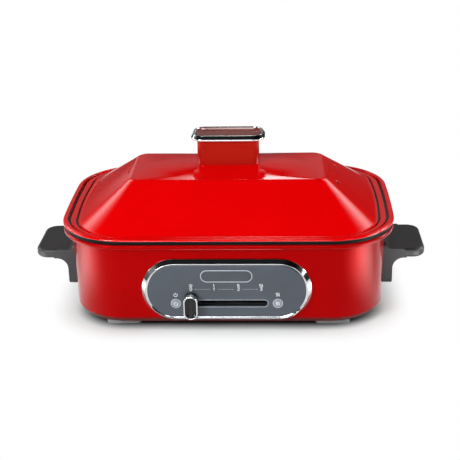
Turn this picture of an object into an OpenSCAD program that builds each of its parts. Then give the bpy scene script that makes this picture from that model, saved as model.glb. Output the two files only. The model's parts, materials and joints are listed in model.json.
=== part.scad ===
// Countertop multicooker: drafted rounded-rectangle base, lift-out pan, lift-off hipped lid
// and a slide control on the front. Millimetres, +Z up, front toward -Y, floor at z = 0.

/* [Rim] */
// Half width of the rim, left to right
rim_hw = 162.5; // [150:0.5:180]
// Half depth of the rim, front to back
rim_hd = 108; // [104:0.5:125]
// Plan radius of the rim corners
rim_r = 63; // [60:0.5:66]

/* [Base] */
// Height of the base rim above the floor
body_h = 91.6; // [88:0.2:100]
// Height of the feet
foot_h = 6; // [5:0.5:8]
// Wall thickness of the outer shell
wall_t = 2; // [1.6:0.1:2.2]
// How far the wall stands in from the rim at the foot
inset_low = 9.7; // [9:0.1:10.4]
// How far the wall stands in from the rim under the rim
inset_high = 8.2; // [7.8:0.1:9]

/* [Pan] */
// Wall and floor thickness of the cooking pan
pan_t = 3; // [2.4:0.1:3.4]
// Thickness of the pan flange that shows between base and lid
flange_t = 3.4; // [2.8:0.1:4.4]

/* [Lid] */
// Sheet thickness of the lid
lid_t = 2; // [1.6:0.1:2.2]
// Height of the raised lip round the lid
lip_h = 6.4; // [5.6:0.1:8]
// Width of the raised lip
lip_w = 4.8; // [4.4:0.1:5.6]
// Rise of the dome from the channel floor to the plateau
dome_rise = 37.2; // [30:0.2:44]
// Plan run of the dome slope, foot to plateau
dome_run = 46.3; // [44:0.1:47.5]
// Rise of the crown in the middle of the plateau
crown_h = 6.4; // [4:0.2:8]
// Radius of a steam vent
vent_r = 2.2; // [1.6:0.1:3]

/* [Lid knob] */
// Width of the knob neck
neck_w = 62; // [54:1:72]
// Depth of the knob neck
neck_d = 27; // [26:0.5:32]
// Height of the knob neck above its seat on the crown
neck_h = 25; // [21:0.2:30]
// How far the cap ring reaches past the neck
cap_out = 6; // [5:0.1:8]
// Height of the cap ring
cap_h = 6.6; // [6:0.1:8]

/* [Control] */
// Width of the panel opening in the bezel
panel_w = 155.4; // [153:0.1:158]
// Height of the panel opening in the bezel
panel_h = 55.9; // [55:0.1:57]
// Width of the bezel ring
bezel_w = 3.2; // [2.8:0.1:4]
// Travel of the slide knob from off to highest
slide_travel = 67.3; // [60:0.1:68]
// Height of the panel slot
slot_h = 6.4; // [5.4:0.1:6.8]
// Width of the slide knob
knob_w = 13.6; // [12:0.1:15]
// Height of the slide knob
knob_h = 24.5; // [20:0.5:26]
// How far the slide knob stands out of the panel
knob_out = 11.5; // [10:0.1:14]
// Teeth of the thermostat pinion
pinion_teeth = 22; // [20:1:22]

/* [Handles] */
// Width of a handle, front to back
handle_w = 70; // [62:1:78]
// Reach of a grip past the rim
grip_out = 35; // [30:0.5:40]
// Thickness of a grip
grip_t = 9.5; // [8:0.5:11]
// Height of the top of a grip
grip_z = 57.5; // [54:0.5:60]

/* [Inlet] */
// Outer width of the inlet shroud
inlet_w = 34; // [32:0.5:38]
// Depth of the inlet socket
socket_deep = 19; // [15:0.5:20]

/* [Hidden] */
$fn = 64;
// Steps in each rounded corner of a section
arc_n = 6;
// Running gap between bodies that move past each other, and the loose gap of a fixed fit
gap = 0.3;
fit = 0.1;
// Amount by which a cutter passes the face it cuts
past = 1;

// Corner axes of the rim
cx = rim_hw - rim_r;
cy = rim_hd - rim_r;
// Heights of the stacked rims
flange_z = body_h + flange_t;
floor_z = flange_z + lid_t;
lip_z = flange_z + lip_h;
plateau_z = floor_z + dome_rise;
// Underside of the pan
pan_up = 34;
pan_z = foot_h + pan_up;

// Outer wall of the shell: distance out from the corner axes at height z
rim_deep = 6;
cove_z = body_h - rim_deep;
function wall_x(z) = rim_r - inset_low
    + (z - foot_h) * (inset_low - inset_high) / (cove_z - foot_h);

// Corner rounding of a closed outline of [x, y, radius] points
function unit(v) = v / norm(v);
function flat(p) = [p.x, p.y];
function arc(a, p, b) = p.z <= 0 ? [flat(p)] :
    let (u = unit(flat(a) - flat(p)), v = unit(flat(b) - flat(p)),
        half = acos(u * v) / 2,
        c = flat(p) + unit(u + v) * p.z / sin(half),
        s = flat(p) + u * p.z / tan(half) - c,
        e = flat(p) + v * p.z / tan(half) - c,
        from = atan2(s.y, s.x),
        turn = (atan2(e.y, e.x) - from + 540) % 360 - 180)
    [for (i = [0:arc_n]) c + p.z * [cos(from + turn * i / arc_n), sin(from + turn * i / arc_n)]];
function rounded(pts) = let (n = len(pts))
    [for (i = [0:n - 1]) each arc(pts[(i + n - 1) % n], pts[i], pts[(i + 1) % n])];

// The path of the far face of a sheet of thickness t that lies to the left of the given path
function left_of(a, b) = unit([a.y - b.y, b.x - a.x]);
function far_side(path, t) = [for (i = [0:len(path) - 1])
    let (m = i > 0 ? left_of(path[i - 1], path[i]) : left_of(path[0], path[1]),
        n = i < len(path) - 1 ? left_of(path[i], path[i + 1]) : m,
        step = (m + n) * t / (1 + m * n),
        bend = m.x * n.y - m.y * n.x)
    [path[i].x + step.x, path[i].y + step.y,
        path[i].z == 0 ? 0 : max(path[i].z - sign(bend) * t, 0.4)]];
function back(path) = [for (i = [len(path) - 1:-1:0]) path[i]];
function sheet(path, t) = rounded(concat(path, back(far_side(path, t))));

// Sweep of a section round a rounded rectangle: section x is the distance out from the corner axes
function snap(v) = round(v * 100) / 100;
module ring(half_x, half_y) {
    ax = snap(half_x);
    ay = snap(half_y);
    for (i = [0, 1])
        for (j = [0, 1])
            mirror([i, 0, 0])
                mirror([0, j, 0])
                    translate([ax, ay, 0])
                        rotate_extrude(angle = 90)
                            children();
    if (ay > 0)
        for (i = [0, 1])
            mirror([i, 0, 0])
                translate([ax, ay, 0])
                    rotate([90, 0, 0])
                        linear_extrude(2 * ay)
                            children();
    if (ax > 0)
        for (j = [0, 1])
            mirror([0, j, 0])
                translate([-ax, ay, 0])
                    rotate([90, 0, 90])
                        linear_extrude(2 * ax)
                            children();
}

// Solid swept from a section that starts on the corner axes; the middle is filled from lo to hi
module filled(half_x, half_y, lo, hi) {
    ax = snap(half_x);
    ay = snap(half_y);
    ring(ax, ay)
        children();
    if (ax > 0 && ay > 0)
        translate([-ax, -ay, lo])
            cube([2 * ax, 2 * ay, hi - lo]);
}

// Plate with a rounded-rectangle outline
module slab(ax, ay, r, lo, hi)
    filled(ax, ay, lo, hi)
        translate([0, lo])
            square([r, hi - lo]);

// Front frame: x stays, y becomes up, z points out of the front
module front()
    rotate([90, 0, 0])
        children();

// Back frame: y is up, z points out of the back
module rear()
    rotate([90, 0, 180])
        children();

// Eight-sided lead along a line of points, with eased bends
lead_sides = 8;
lead_bend = 2.2;
lead_ref = [0.31, 0.57, 0.76];
function eased(pts) = [for (i = [0:len(pts) - 1])
    each i == 0 || i == len(pts) - 1 ? [pts[i]] :
        let (u = unit(pts[i - 1] - pts[i]), v = unit(pts[i + 1] - pts[i]))
        [for (t = [0:0.25:1]) pts[i] + lead_bend * (u * (1 - t) * (1 - t) + v * t * t)]];
module lead(pts, r) {
    line = eased(pts);
    last = len(line) - 1;
    rings = [for (i = [0:last])
        let (along = unit(line[min(i + 1, last)] - line[max(i - 1, 0)]),
            side = unit(cross(along, lead_ref)),
            up = cross(along, side))
        for (k = [0:lead_sides - 1])
            let (a = k * 360 / lead_sides)
            line[i] + r * (side * cos(a) + up * sin(a))];
    sides = [for (i = [0:last - 1])
        for (k = [0:lead_sides - 1])
            let (n = (k + 1) % lead_sides, p = i * lead_sides, q = p + lead_sides)
            [p + k, q + k, q + n, p + n]];
    polyhedron(points = rings, faces = concat([[for (k = [0:lead_sides - 1]) k]], sides,
        [[for (k = [lead_sides - 1:-1:0]) last * lead_sides + k]]));
}

module quad(x, y)
    for (i = [-1, 1])
        for (j = [-1, 1])
            translate([i * x, j * y, 0])
                children();

module pair(x)
    for (i = [-1, 1])
        translate([i * x, 0, 0])
            children();

// Outer shell
crease_up = 6;
crease_z = foot_h + crease_up;
chamfer_w = 4;
ledge_in = 22;
rim_under = 1.8;
shell_path = [
    [ledge_in, foot_h, 0],
    [wall_x(foot_h) - chamfer_w, foot_h, 4],
    [wall_x(crease_z), crease_z, 3],
    [wall_x(cove_z), cove_z, 2.5]];
shell_in = far_side(shell_path, wall_t);
shell_outline = concat(shell_path, [
    [rim_r, cove_z + rim_under, 1.4],
    [rim_r, body_h, 1.6],
    [wall_x(cove_z) - wall_t, body_h, 0.8]],
    [for (i = [2:-1:0]) shell_in[i]]);

// Control panel placing
panel_r = panel_h / 2;
panel_ax = panel_w / 2 - panel_r;
panel_up = 36.35;
panel_z = foot_h + panel_up;
bezel_r = panel_r + bezel_w;
bezel_lap = 2.2;
skirt_r = bezel_r - bezel_lap;
bezel_out = 5.42;
panel_y = cy + wall_x(panel_z) + bezel_out;
plate_t = 2;
plate_in = 0.4;
plate_y = panel_y - plate_in;

// Slide control placing: z measured from the floor, y as the distance in front of the middle
slot_up = 24;
slot_z = foot_h + slot_up;
slot_shift = 0.5;
off_x = -slide_travel / 2 - slot_shift;
slot_end = 6.2;
lamp_x = 49;
lamp_r = 3.9;

// Inlet placing
inlet_up = 21;
inlet_z = foot_h + inlet_up;
inlet_h = 23;
// The shroud reaches as far behind the rim middle as the knob does in front of it
inlet_y = plate_y + knob_out;
inlet_wall = 2.4;
inlet_lap = [3, 2.5];
inlet_body_w = inlet_w - 2 * inlet_lap.x;
inlet_body_h = inlet_h - 2 * inlet_lap.y;
inlet_r = 4;

// Screw positions
cover_lap = 5;
cover_r = ledge_in + cover_lap;
cover_t = 1.6;
screw_r = 1.5;
cover_screw_x = cx + ledge_in + cover_lap / 2;
cover_screw_y = cy + ledge_in + cover_lap / 2;
handle_screw_down = 20;
handle_screw_z = grip_z - handle_screw_down;
handle_screw_in = 14;
handle_screw_y = handle_w / 2 - handle_screw_in;

module cover_screw_places() {
    pair(cover_screw_x)
        children();
    for (j = [-1, 1])
        translate([0, j * cover_screw_y, 0])
            pair(cx * 0.55)
                children();
}

module outer_shell()
    color([0.72, 0.02, 0.03])
        difference() {
            ring(cx, cy)
                polygon(rounded(shell_outline));
            front()
                translate([0, panel_z, 0])
                    slab(panel_ax, 0, skirt_r + gap, cy + ledge_in, panel_y);
            rear()
                translate([0, inlet_z, cy + ledge_in])
                    slab(inlet_body_w / 2 - inlet_r, inlet_body_h / 2 - inlet_r, inlet_r + gap,
                        0, inlet_y);
            cover_screw_places()
                cylinder(r = screw_r + fit / 2, h = foot_h + wall_t + past);
            pair(cx)
                for (j = [-1, 1])
                    translate([0, j * handle_screw_y, handle_screw_z])
                        rotate([0, 90, 0])
                            translate([0, 0, -rim_r])
                                cylinder(r = screw_r + gap, h = 2 * rim_r);
        }

// Bottom cover: flat plate screwed under the shell ledge, with rows of vent slots
vent_slot = [18, 2, foot_h];
vent_pitch = 9;
vent_rows = 4;
module bottom_cover()
    color([0.16, 0.16, 0.17])
        difference() {
            slab(cx, cy, cover_r, foot_h - cover_t, foot_h);
            for (side = [-1, 1])
                for (i = [0:vent_rows])
                    translate([side * cx * 0.62, (i - vent_rows / 2) * vent_pitch, 0])
                        slab(vent_slot.x, 0, vent_slot.y, 0, foot_h + past);
            cover_screw_places()
                cylinder(r = screw_r + fit, h = foot_h + past);
        }

screw_head_r = 3;
screw_head_t = 1.6;
module cover_screws()
    color([0.6, 0.6, 0.62])
        cover_screw_places() {
            translate([0, 0, foot_h - cover_t - screw_head_t])
                cylinder(r = screw_head_r, h = screw_head_t);
            translate([0, 0, foot_h - cover_t])
                cylinder(r = screw_r, h = cover_t + wall_t + 2);
        }

foot_half = [17, 6];
foot_r = 5;
foot_at = [cx + 3.5, cy + cover_r + 2 + foot_half.y];
module feet()
    color([0.3, 0.3, 0.31])
        quad(foot_at.x, foot_at.y)
            slab(foot_half.x - foot_r, foot_half.y - foot_r, foot_r, 0, foot_h);

// Handles: a mounting leg on the wall and a flat grip, joined by concave fillets
grip_x = rim_hw + grip_out;
grip_r = 13;
leg_t = 11;
leg_down = 38;
leg_up = 6;
leg_x = cx + wall_x(grip_z) + leg_t;
leg_low = grip_z - leg_down;
leg_top = grip_z + leg_up;
leg_r = 5;
shoulder_t = 4;
shoulder_x = cx + wall_x(leg_top) + shoulder_t;
under_r = 11;
shoulder_r = 6;
edge_r = 3;
module wall_side()
    rotate([90, 0, 0])
        linear_extrude(2 * handle_w, center = true)
            polygon([[0, leg_low - past], [cx + wall_x(leg_low - past), leg_low - past],
                [cx + wall_x(leg_top + past), leg_top + past], [0, leg_top + past]]);

module handle()
    difference() {
        union() {
            // grip with rounded edges all round
            translate([leg_x - grip_r, 0, 0])
                filled(grip_x - leg_x, handle_w / 2 - grip_r, grip_z - grip_t, grip_z)
                    polygon(rounded([[0, grip_z - grip_t, 0], [grip_r, grip_z - grip_t, edge_r],
                        [grip_r, grip_z, edge_r], [0, grip_z, 0]]));
            // leg and the two fillets
            intersection() {
                rotate([90, 0, 0])
                    linear_extrude(handle_w, center = true)
                        polygon(rounded([[cx, leg_low, 0], [leg_x, leg_low, edge_r],
                            [leg_x, grip_z - grip_t, under_r],
                            [leg_x + under_r + edge_r, grip_z - grip_t, 0],
                            [leg_x + under_r + edge_r, grip_z - edge_r, 0],
                            [leg_x + under_r, grip_z, 0],
                            [shoulder_x + 1, grip_z, shoulder_r], [shoulder_x, leg_top, 1.5],
                            [cx, leg_top, 0]]));
                translate([0, 0, (leg_low + leg_top) / 2])
                    rotate([90, 0, 90])
                        slab(handle_w / 2 - leg_r, (leg_top - leg_low) / 2 - leg_r, leg_r, 0,
                            2 * grip_x);
            }
        }
        wall_side();
        for (j = [-1, 1])
            translate([cx, j * handle_screw_y, handle_screw_z])
                rotate([0, 90, 0])
                    cylinder(r = screw_r + fit / 2, h = leg_x - cx - 2);
    }

module right_handle()
    color([0.13, 0.13, 0.135])
        handle();

module left_handle()
    color([0.13, 0.13, 0.135])
        mirror([1, 0, 0])
            handle();

// Handle screws: heads against the inner wall, shanks out into the legs
draft = atan((inset_low - inset_high) / (cove_z - foot_h));
screw_seat = cx + wall_x(handle_screw_z - screw_head_r) - wall_t / cos(draft) - fit / 2;
module handle_screws()
    color([0.6, 0.6, 0.62])
        for (i = [0, 1])
            mirror([i, 0, 0])
                for (j = [-1, 1])
                    translate([screw_seat - screw_head_t, j * handle_screw_y, handle_screw_z])
                        rotate([0, 90, 0]) {
                            cylinder(r = screw_head_r, h = screw_head_t);
                            cylinder(r = screw_r, h = leg_x - 3 - screw_seat + screw_head_t);
                        }

// Chrome bezel: bevelled flange on the drafted wall and a skirt through the opening
skirt_in = 8;
bezel_ledge = [3.9, 1.6];
bezel_drop = 3;
bezel_crest = 1;
module wall_front()
    rotate([90, 0, 90])
        linear_extrude(4 * panel_ax, center = true)
            polygon([[0, 0], [-cy - wall_x(0), 0], [-cy - wall_x(body_h), body_h], [0, body_h]]);

module control_bezel()
    color([0.8, 0.8, 0.82]) {
        difference() {
            front()
                translate([0, panel_z, 0])
                    ring(panel_ax, 0)
                        polygon(rounded([[panel_r, cy + ledge_in, 0], [bezel_r, cy + ledge_in, 0],
                            [bezel_r, panel_y - bezel_drop, 1.4],
                            [panel_r + bezel_crest, panel_y, 0.8], [panel_r, panel_y, 0.3]]));
            wall_front();
        }
        front()
            translate([0, panel_z, 0])
                ring(panel_ax, 0) {
                    translate([panel_r, plate_y - plate_t - skirt_in])
                        square([skirt_r - panel_r, skirt_in]);
                    translate([panel_r - bezel_ledge.x, rail_y - bezel_ledge.y])
                        square([bezel_ledge.x + past, bezel_ledge.y]);
                }
    }

// Grey panel plate with the slot and the lamp holes
plate_gap = 1.4;
plate_edge = 0.8;
plate_r = panel_r - plate_gap;
module at_slot(lo)
    front()
        translate([0, slot_z, lo])
            children();

module slot_cut(grow)
    translate([(off_x + off_x + slide_travel) / 2, 0, 0])
        slab(slide_travel / 2 + slot_end - slot_h / 2, 0, slot_h / 2 + grow, -past, 20);

module control_panel()
    color([0.31, 0.345, 0.385])
        difference() {
            front()
                translate([0, panel_z, 0])
                    filled(panel_ax, 0, 0, 0)
                        polygon(rounded([[0, plate_y - plate_t, 0], [plate_r, plate_y - plate_t, 0],
                            [plate_r, plate_y, plate_edge], [0, plate_y, 0]]));
            at_slot(plate_y - plate_t) {
                slot_cut(0);
                pair(lamp_x)
                    translate([0, 0, -past])
                        cylinder(r = lamp_r + fit, h = plate_t + 2 * past);
            }
        }

badge_half = [25, 6.35];
badge_up = 52.7;
badge_z = foot_h + badge_up;
badge_t = 0.6;
module badge_plate()
    color([0.45, 0.48, 0.52])
        front()
            translate([0, badge_z, 0])
                slab(badge_half.x - badge_half.y, 0, badge_half.y, plate_y, plate_y + badge_t);

// Chassis behind the panel: backing plate and two lipped rails for the slide carriage
chassis_t = 2.4;
rail_in = 7.6;
rail_t = 2;
rail_lip = 2;
rail_half = 43.8;
carriage_half = 6.4;
rail_y = plate_y - plate_t - chassis_t;
module control_chassis()
    color([0.1, 0.1, 0.105])
        at_slot(0)
            difference() {
                union() {
                    translate([0, panel_z - slot_z, 0])
                        slab(panel_ax, 0, plate_r - 0.2, rail_y, plate_y - plate_t);
                    for (j = [0, 1])
                        mirror([0, j, 0])
                            rotate([90, 0, 90])
                                linear_extrude(2 * rail_half, center = true)
                                    polygon([[carriage_half + gap, rail_y + fit],
                                        [carriage_half + gap, rail_y - rail_in + 1.5],
                                        [carriage_half - rail_lip, rail_y - rail_in + 1.5],
                                        [carriage_half - rail_lip, rail_y - rail_in],
                                        [carriage_half + gap + rail_t, rail_y - rail_in],
                                        [carriage_half + gap + rail_t, rail_y + fit]]);
                }
                translate([0, 0, rail_y - past])
                    slot_cut(0.3);
                pair(lamp_x)
                    translate([0, 0, rail_y - past])
                        cylinder(r = lamp_body_r + fit, h = chassis_t + 2 * past);
            }

// Lamps: flush lens with a narrower body behind
lamp_body_r = 3;
lamp_proud = 0.5;
lamp_in = 7;
module lamp(x, tint)
    color(tint)
        at_slot(plate_y)
            translate([x, 0, 0]) {
                translate([0, 0, -plate_t])
                    rotate_extrude()
                        polygon(rounded([[0, 0, 0], [lamp_r, 0, 0], [lamp_r, plate_t + lamp_proud, 0.5],
                            [0, plate_t + lamp_proud, 0]]));
                translate([0, 0, -lamp_in])
                    cylinder(r = lamp_body_r, h = lamp_in);
            }

module power_lamp()
    lamp(-lamp_x, [0.5, 0.53, 0.56]);

module heat_lamp()
    lamp(lamp_x, [0.5, 0.53, 0.56]);

lamp_board = [9, 14, 1.6];
module lamp_boards()
    color([0.1, 0.35, 0.2])
        at_slot(plate_y - lamp_in - lamp_board.z)
            pair(lamp_x)
                translate([-lamp_board.x / 2, -lamp_board.y + 4, 0])
                    cube(lamp_board);

// Slide knob: upright stadium with a scooped, ridged face, and a stem through the slot
knob_r = knob_w / 2;
knob_ay = knob_h / 2 - knob_r;
knob_gap = 1.4;
trim_w = 1.3;
trim_h = 5.2;
trim_proud = 0.6;
stem_half = 4;
face_r = knob_r - trim_w;
module slide_knob()
    color([0.05, 0.05, 0.052])
        at_slot(plate_y)
            translate([off_x, 0, 0]) {
                difference() {
                    filled(0, knob_ay, 0, 0)
                        polygon([[0, knob_gap], [knob_r, knob_gap], [knob_r, knob_out - trim_h],
                            [face_r, knob_out - trim_h], [face_r, knob_out - trim_proud],
                            [0, knob_out - trim_proud]]);
                    pair(face_r)
                        translate([0, 0, knob_out - 2 * trim_proud + face_r * 0.72])
                            rotate([90, 0, 0])
                                cylinder(r = face_r * 0.92, h = knob_h, center = true);
                }
                translate([-stem_half, -slot_h / 2 + gap, -plate_t - chassis_t])
                    cube([2 * stem_half, slot_h - 2 * gap, plate_t + chassis_t + knob_gap + fit]);
            }

module knob_trim()
    color([0.8, 0.8, 0.82])
        at_slot(plate_y)
            translate([off_x, 0, 0])
                ring(0, knob_ay)
                    polygon(rounded([[face_r, knob_out - trim_h, 0], [knob_r, knob_out - trim_h, 0],
                        [knob_r, knob_out, 1], [face_r, knob_out, 0.25]]));

// Rack and pinion: the carriage's rack turns the thermostat spindle
tooth_angle = 20;
pitch_r = slide_travel / 5.1;
module_mm = 2 * pitch_r / pinion_teeth;
pitch = PI * module_mm;
play = 0.36;
addendum = 0.85 * module_mm;
dedendum = 1.2 * module_mm;
gear_t = 4;
rack_up = 12;
rack_z = foot_h + rack_up;
rack_stand = 2.6;
rack_back = rail_y - rail_in - gap - rack_stand;
rack_y = rack_back - dedendum;
spindle_y = -rack_y + pitch_r;
rack_bar = 3.4;
rack_spare = 7;

// Tooth flank: polar angle of an involute point at radius r, in degrees from the tooth centre
base_r = pitch_r * cos(tooth_angle);
function roll(r) = let (t = sqrt(max(r * r / (base_r * base_r) - 1, 0))) t * 180 / PI - atan(t);
half_tooth = 90 / pinion_teeth - play / (4 * pitch_r) * 180 / PI;
function flank(r) = half_tooth + roll(pitch_r) - roll(r);
tip_r = pitch_r + addendum;
root_r = pitch_r - dedendum;
tooth_radii = [root_r, base_r, (2 * base_r + tip_r) / 3, (base_r + 2 * tip_r) / 3, tip_r];
function polar(r, a) = r * [cos(a), sin(a)];
pinion_outline = [for (i = [0:pinion_teeth - 1])
    let (mid = -90 + (i + 0.5) * 360 / pinion_teeth)
    each concat([for (r = tooth_radii) polar(r, mid - flank(r))],
        [for (r = back(tooth_radii)) polar(r, mid + flank(r))])];

spindle_r = 3;
spindle_up = 2;
spindle_low = foot_h + wall_t + spindle_up;
module thermostat_pinion()
    color([0.85, 0.84, 0.8])
        translate([0, spindle_y, 0]) {
            translate([0, 0, rack_z])
                linear_extrude(gear_t)
                    polygon(pinion_outline);
            translate([0, 0, spindle_low])
                cylinder(r = spindle_r, h = rack_z - spindle_low + past);
        }

thermostat_half = [16, 13];
thermostat_r = 3;
module thermostat_body()
    color([0.75, 0.72, 0.66])
        translate([0, spindle_y, 0])
            difference() {
                slab(thermostat_half.x - thermostat_r, thermostat_half.y - thermostat_r,
                    thermostat_r, foot_h + wall_t, rack_z - 1);
                translate([0, 0, spindle_low - gap])
                    cylinder(r = spindle_r + gap, h = rack_z);
            }

// Carriage: block between the rails, arm down behind the lower rail, toothed bar at its foot
tooth_first = floor((-slide_travel - rack_spare / 2) / pitch);
rack_teeth = [for (k = [tooth_first:1]) k * pitch];
tooth_half = pitch / 4 - play / 4;
function rack_tooth(x) = let (out = addendum * tan(tooth_angle), low = dedendum * tan(tooth_angle))
    [[x - tooth_half - low, -rack_back], [x - tooth_half + out, -rack_y + addendum],
        [x + tooth_half - out, -rack_y + addendum], [x + tooth_half + low, -rack_back]];
module slide_carriage()
    color([0.87, 0.86, 0.82]) {
        at_slot(0)
            translate([off_x, 0, 0]) {
                translate([-stem_half * 2, -carriage_half, rail_y - rail_in + 1.5 + gap])
                    cube([4 * stem_half, 2 * carriage_half, rail_in - 1.5 - 2 * gap]);
                translate([-stem_half, -slot_h / 2 + gap, rail_y - past])
                    cube([2 * stem_half, slot_h - 2 * gap, past]);
                translate([-stem_half * 2, -carriage_half + rail_lip + 2 * gap, rack_back])
                    cube([4 * stem_half, 2 * (carriage_half - rail_lip - 2 * gap),
                        rail_y - rail_in + 1.5 + 2 * gap - rack_back]);
                translate([-stem_half * 2, rack_z - slot_z, rack_back])
                    cube([4 * stem_half, slot_z - rack_z, rack_bar - 1.2]);
            }
        translate([0, 0, rack_z])
            linear_extrude(gear_t)
                polygon(concat([[rack_spare, -rack_back], [rack_spare, -rack_back - rack_bar + 1.2],
                    [-slide_travel - rack_spare, -rack_back - rack_bar + 1.2],
                    [-slide_travel - rack_spare, -rack_back]],
                    [for (x = rack_teeth) each rack_tooth(x)]));
    }

// Reflector tray under the element, on four posts
tray_axes = [96, 42];
tray_up = 20;
tray_z = foot_h + tray_up;
tray_t = 1;
tray_r = 28;
tray_under = 2;
tray_flare = 3;
tray_brim = 5;
tray_top = pan_z - tray_under;
module reflector_tray()
    color([0.78, 0.78, 0.79])
        difference() {
            filled(tray_axes.x, tray_axes.y, tray_z, tray_z + tray_t)
                polygon(sheet([[0, tray_z, 0], [tray_r, tray_z, 4],
                    [tray_r + tray_flare, tray_top - tray_t, 2.5],
                    [tray_r + tray_flare + tray_brim, tray_top - tray_t, 0]], tray_t));
            cylinder(r = guide_r + fit, h = pan_z);
            pair(lead_x)
                translate([0, loop.y, 0])
                    cylinder(r = tube_r + 2, h = pan_z);
        }

post_r = 4.5;
post_at = [90, 40];
module tray_posts()
    color([0.7, 0.7, 0.71])
        quad(post_at.x, post_at.y)
            translate([0, 0, foot_h])
                cylinder(r = post_r, h = tray_z - foot_h);

// Tubular element: rounded loop, open at the back, with ends turned down through the tray
tube_r = 3.3;
tube_gap = 0.4;
tube_z = pan_z - tube_gap - tube_r;
loop = [100, 52];
loop_r = 25;
lead_r = 9;
lead_x = 16;
lead_up = 11;
lead_low = foot_h + lead_up;
module tube_bend(r)
    rotate_extrude(angle = 90)
        translate([r, 0])
            circle(r = tube_r);

module heating_element()
    color([0.25, 0.25, 0.26]) {
        for (i = [0, 1])
            mirror([i, 0, 0]) {
                for (j = [0, 1])
                    mirror([0, j, 0])
                        translate([loop.x - loop_r, loop.y - loop_r, tube_z])
                            tube_bend(loop_r);
                translate([loop.x, loop.y - loop_r, tube_z])
                    rotate([90, 0, 0])
                        cylinder(r = tube_r, h = 2 * (loop.y - loop_r));
                translate([lead_x + lead_r, loop.y, tube_z])
                    rotate([0, 90, 0])
                        cylinder(r = tube_r, h = loop.x - loop_r - lead_x - lead_r);
                translate([lead_x + lead_r, loop.y, tube_z - lead_r])
                    rotate([90, 0, 180])
                        tube_bend(lead_r);
                translate([lead_x, loop.y, lead_low])
                    cylinder(r = tube_r, h = tube_z - lead_r - lead_low);
            }
        translate([-loop.x + loop_r, -loop.y, tube_z])
            rotate([0, 90, 0])
                cylinder(r = tube_r, h = 2 * (loop.x - loop_r));
    }

// Saddles that carry the element on the tray
saddle = [9, 11];
module saddle_at(x, y, turn)
    translate([x, y, 0])
        rotate([0, 0, turn])
            difference() {
                translate([-saddle.x / 2, -saddle.y / 2, tray_z + tray_t])
                    cube([saddle.x, saddle.y, tube_z - tray_z - tray_t]);
                translate([-saddle.x, 0, tube_z])
                    rotate([0, 90, 0])
                        cylinder(r = tube_r + fit / 2, h = 2 * saddle.x);
            }

module element_supports()
    color([0.66, 0.66, 0.67]) {
        saddle_at(loop.x, 0, 90);
        saddle_at(-loop.x, 0, 90);
        saddle_at(loop.x / 2, -loop.y, 0);
        saddle_at(-loop.x / 2, -loop.y, 0);
        saddle_at(loop.x / 2, loop.y, 0);
        saddle_at(-loop.x / 2, loop.y, 0);
    }

pin_r = 1.6;
pin_h = 6;
module element_terminals()
    color([0.72, 0.6, 0.3])
        pair(lead_x)
            translate([0, loop.y, lead_low - pin_h])
                cylinder(r = pin_r, h = pin_h);

// Spring-loaded sensor under the middle of the pan
sensor_travel = 3;
sensor_r = 11;
sensor_t = 3;
sensor_z = pan_z - gap;
stem_r = 4;
guide_r = 6.4;
guide_up = 12;
guide_low = foot_h + guide_up;
collar_r = 10.5;
collar_t = 1.4;
guide_top = sensor_z - sensor_t - sensor_travel - gap;
module sensor_guide()
    color([0.8, 0.78, 0.72])
        difference() {
            union() {
                translate([0, 0, guide_low])
                    cylinder(r = guide_r, h = guide_top - guide_low);
                translate([0, 0, tray_z + tray_t])
                    cylinder(r = collar_r, h = collar_t);
            }
            translate([0, 0, guide_low - past])
                cylinder(r = stem_r + gap, h = pan_z);
        }

module sensor_plunger()
    color([0.8, 0.8, 0.81]) {
        translate([0, 0, sensor_z - sensor_t])
            rotate_extrude()
                polygon(rounded([[0, 0, 0], [sensor_r, 0, 0.5], [sensor_r, sensor_t, 1],
                    [0, sensor_t, 0]]));
        translate([0, 0, guide_low + 1])
            cylinder(r = stem_r, h = sensor_z - sensor_t - guide_low);
    }

// Coil spring between the collar and the plunger's cap: a swept hexagon wire
coil_r = 8.2;
coil_wire = 0.55;
coil_turns = 3;
coil_step = 18;
coil_sides = 6;
coil_low = tray_z + tray_t + collar_t + coil_wire + fit;
coil_high = sensor_z - sensor_t - coil_wire - fit;
coil_count = coil_turns * 360 / coil_step;
coil_points = [for (i = [0:coil_count])
    let (a = i * coil_step, z = coil_low + (coil_high - coil_low) * i / coil_count)
    for (k = [0:coil_sides - 1])
        let (b = k * 360 / coil_sides, r = coil_r + coil_wire * cos(b))
        [r * cos(a), r * sin(a), z + coil_wire * sin(b)]];
coil_faces = concat(
    [[for (k = [0:coil_sides - 1]) k]],
    [for (i = [0:coil_count - 1])
        for (k = [0:coil_sides - 1])
            let (n = (k + 1) % coil_sides, p = i * coil_sides, q = p + coil_sides)
            [p + n, p + k, q + k, q + n]],
    [[for (k = [coil_sides - 1:-1:0]) coil_count * coil_sides + k]]);
module sensor_spring()
    color([0.65, 0.65, 0.66])
        polyhedron(points = coil_points, faces = coil_faces);

// Thermal fuse under the tray, terminal block by the inlet
fuse_at = [44, 30];
fuse_r = 2.2;
fuse_half = 9;
module thermal_fuse()
    color([0.82, 0.8, 0.74])
        translate([fuse_at.x, fuse_at.y, 0]) {
            translate([-fuse_half + 2, -4, tray_z - 1.5])
                cube([2 * fuse_half - 4, 8, 1.5]);
            translate([-fuse_half, 0, tray_z - 1.2 - fuse_r])
                rotate([0, 90, 0])
                    cylinder(r = fuse_r, h = 2 * fuse_half);
        }

block = [30, 12, 9];
block_y = 28;
module terminal_block()
    color([0.86, 0.85, 0.8])
        translate([-block.x / 2, block_y, foot_h])
            difference() {
                cube(block);
                for (i = [0:2])
                    translate([block.x * (i + 0.5) / 3, block.y / 2, block.z - 4])
                        cylinder(r = 2.6, h = 4 + past);
            }

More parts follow.
